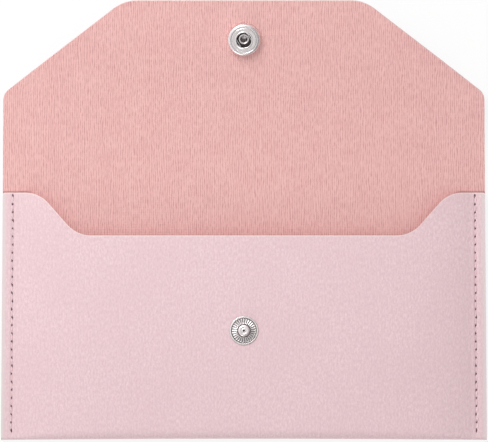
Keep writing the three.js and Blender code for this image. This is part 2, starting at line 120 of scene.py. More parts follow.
# A stitch's shape, as shares of its length and of the dip
STITCH_SHAPE = ((0.2, 0.4), (0.36, 0.05), (0.5, 0.0), (0.64, 0.05), (0.8, 0.4))

# The snap
SNAP_DISTANCE = 53.0
CURL_BEFORE_SOCKET = 0.5
SEAT_CLEARANCE = 0.15
STUD_RADIUS = 5.25
FLUTE_COUNT = 28
FLUTE_DEPTH = 0.16
KNOB_RADIUS = 2.1
KNOB_NECK_RADIUS = 1.85
KNOB_HEIGHT = 2.35
EYELET_RADIUS = 1.15
EYELET_BORE_RADIUS = 0.85
EYELET_FLANGE_RADIUS = 4.75
EYELET_FLANGE_THICKNESS = 0.5
SOCKET_RADIUS = 6.0
SOCKET_HEIGHT = 2.6
SOCKET_FLOOR = 0.5
RECESS_RADIUS = 2.75
SPRING_SLOT_RADIUS = 4.3
SPRING_SLOT_BOTTOM = 1.55
SPRING_SLOT_TOP = 2.15
SPRING_WIRE_RADIUS = 0.17
SPRING_WIRE_X = 2.32
SPRING_TILT = math.radians(30)
CAP_RADIUS = 6.2
CAP_HEIGHT = 2.0
CAP_WALL = 0.4
CAP_CURL_RADIUS = 4.9
CAP_CURL_THICKNESS = 0.35
CAP_CURL_BEVEL = 0.08

# Sizes that follow
HALF_WIDTH = FOLD_WIDTH / 2
SEAM_X = HALF_WIDTH - SEAM_INSET
PINCH_X = HALF_WIDTH - SEWN_EDGE_WIDTH
EAR_INNER_X = HALF_WIDTH - EAR_WIDTH
LIP_END_X = EAR_INNER_X - MOUTH_CURVE_WIDTH
LIP_Y = -EAR_DROP - MOUTH_CURVE_DROP
FRONT_TOP_Z = 2 * THICKNESS + POCKET_GAP
SEAM_TOP_Z = 2 * THICKNESS + SEAM_GAP
CURL_LENGTH = SNAP_DISTANCE - SOCKET_RADIUS - CURL_BEFORE_SOCKET
CURL_RADIUS = CURL_LENGTH / CURL_ANGLE
SNAP_ALONG = SNAP_DISTANCE + CURL_LENGTH + (HINGE_Z - THICKNESS - CURL_RADIUS) * math.sin(CURL_ANGLE)
STITCH_START = -EAR_DROP - FIRST_STITCH_BELOW_EAR
STITCH_END = -POCKET_HEIGHT + LAST_STITCH_ABOVE_BOTTOM
STITCH_COUNT = round((STITCH_START - STITCH_END) / STITCH_PITCH)


# Materials

WHITE = (1.0, 1.0, 1.0, 1.0)


def srgb(red, green, blue):
    """A colour as a screen shows it, 0 to 255, as the linear one that a shader takes."""
    def linear(value):
        share = value / 255
        if share <= 0.04045:
            return share / 12.92
        return ((share + 0.055) / 1.055) ** 2.4
    return (linear(red), linear(green), linear(blue), 1.0)


class Nodes:
    """The nodes of a material or world, with short names for the few kinds that are used here."""

    def __init__(self, tree):
        self.nodes = tree.nodes
        self.links = tree.links

    def plug(self, value, socket):
        if isinstance(value, (int, float, tuple)):
            socket.default_value = value
        else:
            self.links.new(value, socket)

    def math(self, operation, *values):
        node = self.nodes.new("ShaderNodeMath")
        node.operation = operation
        for value, socket in zip(values, node.inputs):
            self.plug(value, socket)
        return node.outputs[0]

    def mix(self, share, first, second, kind="RGBA"):
        node = self.nodes.new("ShaderNodeMix")
        node.data_type = kind
        self.plug(share, node.inputs["Factor"])
        self.plug(first, node.inputs["A"])
        self.plug(second, node.inputs["B"])
        return node.outputs["Result"]

    def tinted(self, shade, mask, strength, colour):
        """The shade with a colour over it: at its full strength where the mask is 1."""
        return self.mix(self.math("MULTIPLY", mask, strength), shade, colour)

    def show_mix(self, share, first, second, output):
        """A mix of two surfaces or backgrounds, as what the output node shows."""
        node = self.nodes.new("ShaderNodeMixShader")
        self.links.new(share, node.inputs["Fac"])
        self.links.new(first, node.inputs[1])
        self.links.new(second, node.inputs[2])
        self.links.new(node.outputs[0], output.inputs["Surface"])

    def attribute(self, name):
        node = self.nodes.new("ShaderNodeAttribute")
        node.attribute_name = name
        return node.outputs["Fac"]

    def position(self):
        return self.nodes.new("ShaderNodeTexCoord").outputs["Object"]

    def flat_position(self):
        node = self.nodes.new("ShaderNodeAttribute")
        node.attribute_name = "flat"
        return node.outputs["Vector"]

    def parts(self, vector):
        node = self.nodes.new("ShaderNodeSeparateXYZ")
        self.links.new(vector, node.inputs[0])
        return node.outputs

    def stretched(self, vector, scale):
        node = self.nodes.new("ShaderNodeMapping")
        self.links.new(vector, node.inputs["Vector"])
        node.inputs["Scale"].default_value = scale
        return node.outputs[0]

    def noise(self, vector, scale, detail=2.0, roughness=0.5):
        node = self.nodes.new("ShaderNodeTexNoise")
        self.links.new(vector, node.inputs["Vector"])
        node.inputs["Scale"].default_value = scale
        node.inputs["Detail"].default_value = detail
        node.inputs["Roughness"].default_value = roughness
        return node.outputs["Fac"]

    def cells(self, vector, scale):
        node = self.nodes.new("ShaderNodeTexVoronoi")
        node.feature = "DISTANCE_TO_EDGE"
        self.links.new(vector, node.inputs["Vector"])
        node.inputs["Scale"].default_value = scale
        return node.outputs["Distance"]

    def ramp(self, value, low, high, first=0.0, last=1.0, kind="SMOOTHSTEP"):
        """From the first level, below low, to the last one, above high."""
        node = self.nodes.new("ShaderNodeMapRange")
        node.interpolation_type = kind
        self.plug(value, node.inputs["Value"])
        node.inputs["From Min"].default_value = low
        node.inputs["From Max"].default_value = high
        node.inputs["To Min"].default_value = first
        node.inputs["To Max"].default_value = last
        return node.outputs["Result"]

    def bump(self, height, distance, strength=1.0, under=None):
        node = self.nodes.new("ShaderNodeBump")
        node.inputs["Distance"].default_value = distance * MM
        node.inputs["Strength"].default_value = strength
        self.plug(height, node.inputs["Height"])
        if under is not None:
            self.links.new(under, node.inputs["Normal"])
        return node.outputs[0]


class Shader(Nodes):
    """A new material's nodes, and its surface."""

    def __init__(self, name):
        self.material = bpy.data.materials.new(name)
        self.material.use_nodes = True
        super().__init__(self.material.node_tree)
        self.surface = self.nodes["Principled BSDF"]

    def set(self, **inputs):
        for name, value in inputs.items():
            self.plug(value, self.surface.inputs[name.replace("_", " ")])


def needle_hole_mask(shader):
    """1 in a needle hole of the seams, 0 elsewhere: long, slightly slanted holes, which stray a
    little from the seam line."""
    slant = 0.06
    stray_length = 3.5
    stray_width = 0.9
    beyond_ends = 0.4
    across = shader.attribute("seam_offset")
    along = shader.attribute("stitch_phase")
    nearest = shader.math("ROUND", along)
    step = shader.math("MULTIPLY", shader.math("SUBTRACT", along, nearest), STITCH_PITCH)
    slanted = shader.math("ADD", across, shader.math("MULTIPLY", step, slant))
    wander = shader.noise(shader.flat_position(), 1 / (stray_length * MM))
    stray = shader.math("SUBTRACT", wander, 0.5)
    slanted = shader.math("MULTIPLY_ADD", stray, stray_width, slanted)
    wide = shader.math("POWER", shader.math("DIVIDE", slanted, NEEDLE_HOLE_WIDTH / 2), 2.0)
    long = shader.math("POWER", shader.math("DIVIDE", step, NEEDLE_HOLE_LENGTH / 2), 2.0)
    inside = shader.ramp(shader.math("ADD", wide, long), 1.25, 0.55)
    sewn_from = shader.math("GREATER_THAN", along, -beyond_ends)
    sewn_to = shader.math("LESS_THAN", along, STITCH_COUNT + beyond_ends)
    return shader.math("MULTIPLY", inside, shader.math("MULTIPLY", sewn_from, sewn_to))


def wavy_lines(shader, flat, pitch, wander_length, wander):
    """0 to 1 across lines of a pitch that run down the flat sheet and wander sideways. Also the
    angle that the lines are the sine of. Lengths are in millimetres."""
    drift = shader.noise(shader.stretched(flat, (1.0, 0.25, 1.0)), 1 / (wander_length * MM), 2.0)
    moved = shader.math("MULTIPLY_ADD", drift, wander * MM, shader.parts(flat)[0])
    turns = shader.math("MULTIPLY", moved, 2 * math.pi / (pitch * MM))
    return shader.math("MULTIPLY_ADD", shader.math("SINE", turns), 0.5, 0.5), turns


def grain_material():
    """The outer side: pale pink, matte, with a fine pressed grain that runs from fold to bottom,
    greyer along the sides with painted shade, paler along the mouth's pale-skinned edge with a
    painted highlight, and with needle holes painted dark as shade."""
    shader = Shader("leatherette_grain")
    flat = shader.flat_position()
    lines = shader.noise(shader.stretched(flat, (1.0, 0.45, 1.0)), 1 / (0.62 * MM), 2.0, 0.6)
    pressed, _ = wavy_lines(shader, flat, pitch=1.4, wander_length=3.0, wander=5.0)
    pebbles = shader.cells(shader.stretched(flat, (1.0, 0.6, 1.0)), 1 / (0.8 * MM))
    creases = shader.ramp(pebbles, 0.0, 0.25)
    fine = shader.noise(flat, 1 / (0.3 * MM), 3.0)
    broad = shader.noise(flat, 1 / (26 * MM), 2.0)
    shade = shader.mix(shader.ramp(broad, 0.3, 0.7), srgb(245, 215, 219), srgb(249, 220, 224))
    shade = shader.mix(shader.ramp(lines, 0.3, 0.7), srgb(233, 202, 207), shade)
    shade = shader.tinted(shade, pressed, 0.2, srgb(222, 192, 198))
    shade = shader.tinted(shade, shader.math("SUBTRACT", 1.0, creases), 0.2, srgb(216, 180, 187))
    # Painted shade: greyer towards the side edges.
    edge_shade_from = SEAM_INSET - 1.9
    edge_shade_to = SEAM_INSET - 0.3
    edge_shade = shader.ramp(shader.attribute("seam_offset"), edge_shade_from, edge_shade_to)
    shade = shader.tinted(shade, edge_shade, 0.85, srgb(231, 217, 217))
    # Paler along the mouth's edge: its pale skin, with a painted highlight where the edge rounds over.
    skin = shader.ramp(shader.attribute("mouth_edge"), 0.3, 1.0)
    shade = shader.tinted(shade, skin, 0.5, srgb(255, 236, 230))
    holes = needle_hole_mask(shader)
    # The needle holes are painted dark: painted shade in holes that are not cut through.
    shade = shader.mix(holes, shade, srgb(96, 52, 72))
    relief = shader.bump(lines, 0.10, 0.6)
    relief = shader.bump(creases, 0.04, 0.6, relief)
    relief = shader.bump(fine, 0.03, 0.5, relief)
    relief = shader.bump(shader.math("SUBTRACT", 1.0, holes), 0.25, 1.0, relief)
    shader.set(Base_Color=shade, Roughness=0.55, Specular_IOR_Level=0.35, Normal=relief)
    return shader.material


def knit_material():
    """The inner side: the salmon knitted backing, with ribs that run from fold to tip. A shadow is
    painted on it, dark where the ears' edges lie on it."""
    loop_pitch = 0.9
    loop_lean = 1.6
    shadow_core = 0.1
    shadow_edge = 0.9
    shadow_fade = 4
    shader = Shader("leatherette_backing")
    flat = shader.flat_position()
    ribs, turns = wavy_lines(shader, flat, pitch=0.74, wander_length=2.4, wander=1.6)
    across_rib = shader.math("ABSOLUTE", shader.math("COSINE", turns))
    lean = shader.math("MULTIPLY", across_rib, loop_lean)
    rows = shader.math("MULTIPLY_ADD", shader.parts(flat)[1], 2 * math.pi / (loop_pitch * MM), lean)
    loops = shader.math("MULTIPLY_ADD", shader.math("SINE", rows), 0.5, 0.5)
    fibres = shader.noise(shader.stretched(flat, (1.0, 0.25, 1.0)), 1 / (0.55 * MM), 3.0, 0.65)
    gaps = shader.math("MULTIPLY", shader.math("SUBTRACT", 1.1, ribs), shader.ramp(fibres, 0.62, 0.38))
    patches = shader.noise(flat, 1 / (9 * MM), 2.0)
    shade = shader.mix(shader.ramp(patches, 0.3, 0.7), srgb(233, 178, 176), srgb(238, 186, 183))
    shade = shader.tinted(shade, ribs, 0.8, srgb(246, 200, 195))
    shade = shader.tinted(shade, gaps, 0.45, srgb(188, 124, 124))
    # Painted shadow: dark in a band along the ears' edges, only beside the ears.
    from_ear = shader.math("ADD", shader.parts(flat)[1], EAR_DROP * MM)
    ear_shadow = shader.ramp(shader.math("ABSOLUTE", from_ear), shadow_edge * MM, shadow_core * MM)
    beside = shader.ramp(shader.math("ABSOLUTE", shader.parts(flat)[0]),
                         (EAR_INNER_X - shadow_fade) * MM, EAR_INNER_X * MM)
    ear_shadow = shader.math("MULTIPLY", ear_shadow, beside)
    shade = shader.tinted(shade, ear_shadow, 0.8, srgb(176, 112, 112))
    relief = shader.bump(ribs, 0.07, 0.6)
    relief = shader.bump(loops, 0.05, 0.6, relief)
    relief = shader.bump(fibres, 0.10, 0.6, relief)
    shader.set(Base_Color=shade, Roughness=0.9, Specular_IOR_Level=0.15, Normal=relief)
    shader.set(Sheen_Weight=0.15, Sheen_Roughness=0.5)
    return shader.material


def edge_material():
    """The cut edge: a thin pale skin over a fibrous core."""
    shader = Shader("leatherette_edge")
    place = shader.position()
    fibres = shader.noise(place, 1 / (0.25 * MM), 4.0, 0.6)
    shade = shader.mix(fibres, srgb(226, 196, 196), srgb(243, 224, 222))
    shader.set(Base_Color=shade, Roughness=0.8, Normal=shader.bump(fibres, 0.06, 0.6))
    return shader.material


def thread_material():
    shader = Shader("pink_thread")
    fibres = shader.noise(shader.position(), 1 / (0.12 * MM), 3.0, 0.6)
    shade = shader.mix(fibres, srgb(248, 220, 225), srgb(255, 238, 240))
    shader.set(Base_Color=shade, Roughness=0.6, Normal=shader.bump(fibres, 0.03, 0.5))
    shader.set(Sheen_Weight=0.2)
    return shader.material


def nickel_material(name, tone, roughness):
    """Plated metal with faint polishing marks, dull and dark where shade is painted into its hollows
    and edges, and where it is tarnished.
    """
    shader = Shader(name)
    place = shader.position()
    shade_and_tarnish = shader.attribute("shade_and_tarnish")
    marks = shader.noise(shader.stretched(place, (1.0, 1.0, 4.0)), 1 / (0.4 * MM), 4.0, 0.6)
    haze = shader.noise(place, 1 / (1.4 * MM), 3.0)
    darker = tuple(0.85 * part for part in tone[:3]) + (1.0,)
    shade = shader.mix(shader.ramp(haze, 0.4, 0.7), tone, darker)
    # The near black is painted shade in hollows and at edges, and where the metal is tarnished.
    shade = shader.mix(shade_and_tarnish, shade, (0.055, 0.045, 0.045, 1.0))
    rough = shader.math("MULTIPLY_ADD", marks, 0.16, roughness)
    rough = shader.math("MULTIPLY_ADD", shade_and_tarnish, 0.25, rough)
    shader.set(Base_Color=shade, Metallic=1.0, Roughness=rough)
    dents = shader.noise(place, 1 / (0.9 * MM), 1.0)
    shader.set(Normal=shader.bump(marks, 0.012, 0.4, shader.bump(dents, 0.05, 0.5)))
    return shader.material


# Meshes

def make_object(name, vertices, faces, materials, body=None, sharp_angle=None):
    """A mesh object from points in millimetres of the row frame, riding on a body if one is given."""
    mesh = bpy.data.meshes.new(name)
    mesh.from_pydata([Vector(v) * MM for v in vertices], [], faces)
    mesh.validate()
    for material in materials:
        mesh.materials.append(material)
    mesh.shade_smooth()
    if sharp_angle is not None:
        mesh.set_sharp_from_angle(angle=math.radians(sharp_angle))
    made = bpy.data.objects.new(name, mesh)
    bpy.context.scene.collection.objects.link(made)
    if body:
        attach(made, body)
    return made


def round_corners(corners, steps=4):
    """A path of corners (x, y, radius), with each corner of some radius replaced by an arc."""
    points = []
    for i, (x, y, radius) in enumerate(corners):
        corner = Vector((x, y))
        if not radius:
            points.append(corner)
            continue
        back = (Vector(corners[i - 1][:2]) - corner).normalized()
        ahead = (Vector(corners[(i + 1) % len(corners)][:2]) - corner).normalized()
        half = math.acos(max(-1, min(1, back.dot(ahead)))) / 2
        centre = corner + (back + ahead).normalized() * (radius / math.sin(half))
        start = corner + back * (radius / math.tan(half)) - centre
        end = corner + ahead * (radius / math.tan(half)) - centre
        first = math.atan2(start.y, start.x)
        turn = math.remainder(math.atan2(end.y, end.x) - first, 2 * math.pi)
        for k in range(steps + 1):
            angle = first + turn * k / steps
            points.append(centre + radius * Vector((math.cos(angle), math.sin(angle))))
    return points


def turned(name, node, body, profile, segments, place, material, shift=None, shade_and_tarnish=None):
    """A closed profile turned on Z and put in place, as a metal piece that replaces a node. shift
    moves a point of it, and the last argument says how dark one is, from its radius, height and
    angle: painted shade, and where it is tarnished."""
    vertices = []
    faces = []
    darkness = []
    count = len(profile)
    for i in range(segments):
        angle = 2 * math.pi * i / segments
        for radius, height in profile:
            darkness.append(shade_and_tarnish(radius, height, angle) if shade_and_tarnish else 0.0)
            if shift:
                height = shift(radius, height, angle)
            point = (radius * math.cos(angle), radius * math.sin(angle), height)
            vertices.append(place @ Vector(point))
    for i in range(segments):
        following = (i + 1) % segments
        for j in range(count):
            beside = (j + 1) % count
            faces.append((i * count + j, following * count + j,
                          following * count + beside, i * count + beside))
    made = make_object(name, vertices, faces, [material], body, sharp_angle=40)
    dark = made.data.attributes.new("shade_and_tarnish", "FLOAT", "POINT")
    dark.data.foreach_set("value", darkness)
    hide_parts(node)


# The leatherette sheet

def width_scale(y):
    return 1 + (BOTTOM_WIDTH / FOLD_WIDTH - 1) * max(0, -y) / POCKET_HEIGHT


def gap_inside(x):
    """The pocket's gap: nearly even across the middle, and pinched where the sides are sewn."""
    evenness = 6
    crown = max(0, 1 - (abs(x) / PINCH_X) ** evenness)
    return SEAM_GAP + (POCKET_GAP - SEAM_GAP) * crown


def bottom_edge_y(x):
    return -POCKET_HEIGHT + BOTTOM_BOW * (1 - (x / HALF_WIDTH) ** 2)


def mouth_slope():
    """How far each of the mouth curve's two equal arcs turns, up to their common tangent."""
    rise = 2 * MOUTH_CURVE_RADIUS - MOUTH_CURVE_DROP
    between = math.hypot(MOUTH_CURVE_WIDTH, rise)
    return math.asin(2 * MOUTH_CURVE_RADIUS / between) - math.atan2(rise, MOUTH_CURVE_WIDTH)


def mouth_y(x):
    """The upper edge of the front panel: lip, rising curve, ear, and the ear's rounded corner."""
    x = abs(x)
    radius = MOUTH_CURVE_RADIUS
    arc_width = radius * math.sin(mouth_slope())
    arc_rise = radius * (1 - math.cos(mouth_slope()))
    if x <= LIP_END_X:
        return LIP_Y
    if x <= LIP_END_X + arc_width:
        return LIP_Y + radius - math.sqrt(radius ** 2 - (x - LIP_END_X) ** 2)
    if x < EAR_INNER_X - arc_width:
        share = (x - LIP_END_X - arc_width) / (MOUTH_CURVE_WIDTH - 2 * arc_width)
        return LIP_Y + arc_rise + (MOUTH_CURVE_DROP - 2 * arc_rise) * share
    if x < EAR_INNER_X:
        return -EAR_DROP - radius + math.sqrt(radius ** 2 - (EAR_INNER_X - x) ** 2)
    corner = max(0, x - (HALF_WIDTH - EAR_CORNER_RADIUS))
    return -EAR_DROP - EAR_CORNER_RADIUS + math.sqrt(EAR_CORNER_RADIUS ** 2 - corner ** 2)


def flap_point(x, along, height):
    """A point of the flap: across it, along the sheet's inner side, and up through the sheet."""
    angle = min(along / CURL_RADIUS, CURL_ANGLE)
    straight = max(0, along - CURL_LENGTH)
    radius = CURL_RADIUS + THICKNESS - height
    return Vector((
        x,
        FOLD_Y + radius * math.sin(angle) + straight * math.cos(angle),
        THICKNESS + CURL_RADIUS - radius * math.cos(angle) + straight * math.sin(angle),
    ))


def pocket_point(x, y, z):
    return Vector((x * width_scale(y), FOLD_Y + y, z))


def valley(x, y):
    """How deep the seam presses into an outer face. It ends softly beyond the last stitches."""
    beyond = 0.6
    steepness = 4
    inside = 1 / (1 + math.exp((y - STITCH_START - beyond) * steepness))
    inside *= 1 / (1 + math.exp((STITCH_END - beyond - y) * steepness))
    return VALLEY_DEPTH * inside * math.exp(-((abs(x) - SEAM_X) / VALLEY_WIDTH) ** 2)


def columns():
    """The x of each column of the sheet, in the fold's width: close together at the snap's holes,
    the mouth's curve, the seam and the cut edge."""
    at_holes = [1.45, 2.7]
    at_seam = (-0.9, -0.6, -0.35, -0.15, 0, 0.15, 0.35, 0.6, 0.9, 1.4, 2.0)
    before_edge = (1.0, 0.6, 0.35, 0.15, 0.05, 0)
    right = at_holes + [LIP_END_X * k / 22 for k in range(2, 23)]
    right += [LIP_END_X + MOUTH_CURVE_WIDTH * k / 26 for k in range(1, 27)]
    right += [EAR_INNER_X + (PINCH_X - EAR_INNER_X) * k / 3 for k in range(1, 4)]
    right += [SEAM_X + step for step in at_seam]
    right += [HALF_WIDTH - step for step in before_edge]
    return [-x for x in reversed(right)] + [0] + right


def flap_rows():
    """(half width, length along the flap) from the tip to the fold."""
    corners = [
        (HALF_WIDTH, 0, 0),
        (FLAP_END_WIDTH / 2, FLAP_SIDE_LENGTH, FLAP_SIDE_RADIUS),
        (FLAP_TIP_WIDTH / 2, FLAP_LENGTH, FLAP_TIP_RADIUS),
        (0, FLAP_LENGTH, 0),
    ]
    edge = round_corners(corners, steps=10)[:-1]
    hole = [SNAP_ALONG - POST_HOLE_HALF, SNAP_ALONG + POST_HOLE_HALF]
    rows = [edge[0]]
    for before, after in zip(edge, edge[1:]):
        steps = max(1, math.ceil((after.y - before.y) / FLAP_ROW_SPACING))
        stops = [(k + 1) / steps for k in range(steps)]
        stops += [(y - before.y) / (after.y - before.y) for y in hole if before.y < y < after.y]
        rows += [before.lerp(after, share) for share in sorted(stops)]
    least_step = 0.3
    rows = [row for row in rows if row.y > CREASE_ROW_DISTANCES[-1] + least_step]
    rows = [Vector((HALF_WIDTH, y)) for y in CREASE_ROW_DISTANCES] + rows
    return [(row.x, row.y) for row in reversed(rows)]


def sheet_rows():
    """The rows of the sheet, from the flap's tip to the pocket's mouth. Each is a function of
    a column's x and the height in the sheet that gives a point and its place on the flat sheet."""
    rows = []
    for half, along in flap_rows():
        def on_flap(x, height, half=half, along=along):
            across = x * half / HALF_WIDTH
            return flap_point(across, along, height), (across, along)
        rows.append(on_flap)

    def on_back(share):
        def point(x, height):
            inner = gap_inside(x) / 2
            end = bottom_edge_y(x) + inner + THICKNESS
            y = end * share
            lift = valley(x, y) * (1 - height)
            return pocket_point(x, y, height * THICKNESS + lift), (x, y)
        return point

    def on_fold(share):
        def point(x, height):
            inner = gap_inside(x) / 2
            middle = inner + THICKNESS
            radius = middle - height * THICKNESS
            angle = math.pi * share
            centre = bottom_edge_y(x) + middle
            y = centre - radius * math.sin(angle)
            z = middle - radius * math.cos(angle)
            return pocket_point(x, y, z), (x, centre - middle * angle)
        return point

    def on_front(share):
        def point(x, height):
            inner = gap_inside(x) / 2
            middle = inner + THICKNESS
            start = bottom_edge_y(x) + middle
            y = start + (mouth_y(x) - start) * share
            top = 2 * middle - height * THICKNESS
            press = valley(x, y) * (1 - height)
            return pocket_point(x, y, top - press), (x, start - middle * math.pi - (y - start))
        return point

    rows.append(on_back(0))
    crease = [y / POCKET_HEIGHT for y in CREASE_ROW_DISTANCES]
    rows += [on_back(share) for share in crease]
    rows += [on_back(crease[-1] + (1 - crease[-1]) * k / BACK_ROWS) for k in range(1, BACK_ROWS)]
    rows += [on_fold(k / FOLD_ROWS) for k in range(FOLD_ROWS + 1)]
    start = bottom_edge_y(0) + gap_inside(0) / 2 + THICKNESS
    hole = [(-SNAP_DISTANCE + step - start) / (LIP_Y - start)
            for step in (-EYELET_HOLE_HALF, EYELET_HOLE_HALF)]
    shares = sorted([k / FRONT_ROWS for k in range(1, FRONT_ROWS)] + hole + MOUTH_ROW_SHARES)
    rows += [on_front(share) for share in shares]
    return rows


def inside_hole(corners):
    """Whether a cell of the grid lies in the hole of the socket's post or of the stud's eyelet."""
    spare_width = 0.15
    spare_depth = 0.5
    middle = sum(corners, Vector()) / len(corners)
    for seat, half in ((snap_seat(), POST_HOLE_HALF), (stud_seat(), EYELET_HOLE_HALF)):
        place = seat.inverted() @ middle
        in_outline = abs(place.x) < half + spare_width and abs(place.y) < half
        if in_outline and abs(place.z) < THICKNESS + spare_depth:
            return True
    return False


def leather_sheet(materials):
    """Both faces of the sheet as grids, joined along the cut edge and round the snap's holes."""
    across = columns()
    rows = sheet_rows()
    width = len(across)
    vertices = []
    flat = []
    for height in (0, 1):
        for row in rows:
            for x in across:
                point, place = row(x, height)
                vertices.append(point)
                flat.append(place)
    layer = len(rows) * width
    cells = []
    for i in range(len(rows) - 1):
        for j in range(width - 1):
            here = i * width + j
            cell = (here, here + 1, here + width + 1, here + width)
            if not inside_hole([vertices[index] for index in cell]):
                cells.append(cell)
    faces = []
    kinds = []
    sides = {}
    for cell in cells:
        faces.append(cell)
        kinds.append(0)
        faces.append(tuple(layer + index for index in reversed(cell)))
        kinds.append(1)
        for side in zip(cell, cell[1:] + cell[:1]):
            if side[::-1] in sides:
                del sides[side[::-1]]
            else:
                sides[side] = True
    for here, beside in sides:
        faces.append((beside, here, layer + here, layer + beside))
        kinds.append(2)
    sheet = make_object("leatherette_sheet", vertices, faces, materials, sharp_angle=50)
    for polygon, kind in zip(sheet.data.polygons, kinds):
        polygon.material_index = kind
    add_sheet_attributes(sheet.data, flat, across)
    return sheet


def add_sheet_attributes(mesh, flat, across):
    """Each point's place on the flat sheet, its distance from the seam line, how many stitches it
    is from the first one, and how near it is to the mouth's edge, from 0 to 1 in the last rows."""
    pitch = (STITCH_START - STITCH_END) / STITCH_COUNT
    places = [part * MM for x, along in flat for part in (x, along, 0)]
    offsets = [abs(across[index % len(across)]) - SEAM_X for index in range(len(flat))]
    phases = [(STITCH_START - vertex.co.y / MM + FOLD_Y) / pitch for vertex in mesh.vertices]
    face = len(flat) // 2
    edge = [0.0] * face
    for i, nearness in enumerate(MOUTH_NEARNESS):
        row = face - (len(MOUTH_NEARNESS) - i) * len(across)
        edge[row:row + len(across)] = [nearness] * len(across)
    place = mesh.attributes.new("flat", "FLOAT_VECTOR", "POINT")
    place.data.foreach_set("vector", places)
    for name, values in (("seam_offset", offsets), ("stitch_phase", phases),
                         ("mouth_edge", edge * 2)):
        attribute = mesh.attributes.new(name, "FLOAT", "POINT")
        attribute.data.foreach_set("value", values)


# The threads

def seam_path(side, level, dip):
    """The points that a seam's thread follows: down the seam with a dip in each needle hole, and
    at both ends a few stitches back over itself, higher and further out."""
    holes = [STITCH_START + (STITCH_END - STITCH_START) * k / STITCH_COUNT
             for k in range(STITCH_COUNT + 1)]
    tack = BACK_TACK_STITCHES
    last = len(holes) - 1
    order = [(k, UPPER_BACK_TACK_OUT, BACK_TACK_LIFT) for k in range(tack, 0, -1)]
    order += [(k, 0.0, 0.0) for k in range(last)]
    order += [(k, LOWER_BACK_TACK_OUT, BACK_TACK_LIFT) for k in range(last, last - tack - 1, -1)]
    chooser = random.Random(side + 7)
    above_ground = 0.05
    rise = 1 if dip < 0 else -1
    path = []
    for (index, out, lift), (following, next_out, _) in zip(order, order[1:] + order[-1:]):
        y = holes[index]
        x = side * (SEAM_X + out)
        path.append(Vector((x * width_scale(y), FOLD_Y + y, level + dip)))
        if index == following:
            continue
        step = holes[following] - y
        sway = chooser.uniform(-STITCH_SWAY, STITCH_SWAY)
        for share, drop in STITCH_SHAPE:
            bulge = math.sin(math.pi * share)
            offset = out + (next_out - out) * share + sway + STITCH_BOW * bulge
            at = y + step * share
            height = level + rise * (STITCH_ARCH + lift * bulge) + dip * drop
            height = max(height, THREAD_DIAMETER / 2 + above_ground)
            path.append(Vector((side * (SEAM_X + offset) * width_scale(at), FOLD_Y + at, height)))
    return path


def smooth_path(points, spacing):
    """Points close together on a smooth curve through the given ones."""
    fine = []
    for i in range(len(points) - 1):
        before = points[max(0, i - 1)]
        start, end = points[i], points[i + 1]
        after = points[min(len(points) - 1, i + 2)]
        steps = max(2, math.ceil((end - start).length / spacing))
        for k in range(steps):
            t = k / steps
            fine.append(0.5 * (2 * start + (end - before) * t
                               + (2 * before - 5 * start + 4 * end - after) * t ** 2
                               + (3 * start - before - 3 * end + after) * t ** 3))
    fine.append(points[-1].copy())
    return fine


def carried_frames(points):
    """Each point of a path, with two directions across it that are carried along untwisted."""
    normal = Vector((1, 0, 0))
    for i, point in enumerate(points):
        ahead = points[min(i + 1, len(points) - 1)]
        back = points[max(i - 1, 0)]
        direction = (ahead - back).normalized()
        normal = (normal - direction * normal.dot(direction)).normalized()
        yield point, normal, direction.cross(normal)


def tube(points, radius, sides):
    """Vertices and faces of a closed tube along points."""
    vertices = []
    faces = []
    for point, normal, across in carried_frames(points):
        for k in range(sides):
            angle = 2 * math.pi * k / sides
            vertices.append(point + radius * (math.cos(angle) * normal + math.sin(angle) * across))
    for i in range(len(points) - 1):
        for k in range(sides):
            beside = (k + 1) % sides
            faces.append((i * sides + k, i * sides + beside,
                          (i + 1) * sides + beside, (i + 1) * sides + k))
    faces.append(tuple(range(sides - 1, -1, -1)))
    faces.append(tuple((len(points) - 1) * sides + k for k in range(sides)))
    return vertices, faces


def twisted_thread(name, path, material, node):
    """Two plies twisted round each other along the path, pressed into each other a little."""
    line = smooth_path(path, spacing=0.14)
    ply_radius = THREAD_DIAMETER / 4
    ply_fullness = 1.12
    ply_sides = 5
    vertices = []
    faces = []
    for start in (0, math.pi):
        travelled = 0
        before = line[0]
        ply = []
        for point, normal, across in carried_frames(line):
            travelled += (point - before).length
            before = point
            angle = start + 2 * math.pi * travelled / TWIST_PITCH
            ply.append(point + ply_radius * (math.cos(angle) * normal + math.sin(angle) * across))
        ply_vertices, ply_faces = tube(ply, ply_radius * ply_fullness, ply_sides)
        faces += [tuple(len(vertices) + index for index in face) for face in ply_faces]
        vertices += ply_vertices
    made = make_object(name, vertices, faces, [material], body="pocket")
    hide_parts(node)


def add_threads(material):
    """The seams' threads: the upper ones fill their pressed valley, the lower ones lie in theirs."""
    needle_level = SEAM_TOP_Z - VALLEY_DEPTH + THREAD_DIAMETER / 2 + NEEDLE_THREAD_LIFT
    bobbin_level = VALLEY_DEPTH - THREAD_DIAMETER / 2
    for word, side in SIDES:
        needle = seam_path(side, needle_level, -THREAD_DIP)
        bobbin = seam_path(side, bobbin_level, THREAD_DIP)
        twisted_thread(f"{word}_seam_upper_thread", needle, material, f"{word}_needle_thread")
        twisted_thread(f"{word}_seam_lower_thread", bobbin, material, f"{word}_bobbin_thread")


# The snap

def snap_seat():
    """The place of the snap on the flap, with Z out of the flap's inner side."""
    seat = flap_point(0, SNAP_ALONG, THICKNESS)
    return Matrix.Translation(seat) @ Matrix.Rotation(CURL_ANGLE, 4, "X")


def stud_seat():
    """The place of the stud on the front panel, with Z up."""
    return Matrix.Translation((0, FOLD_Y - SNAP_DISTANCE, FRONT_TOP_Z))


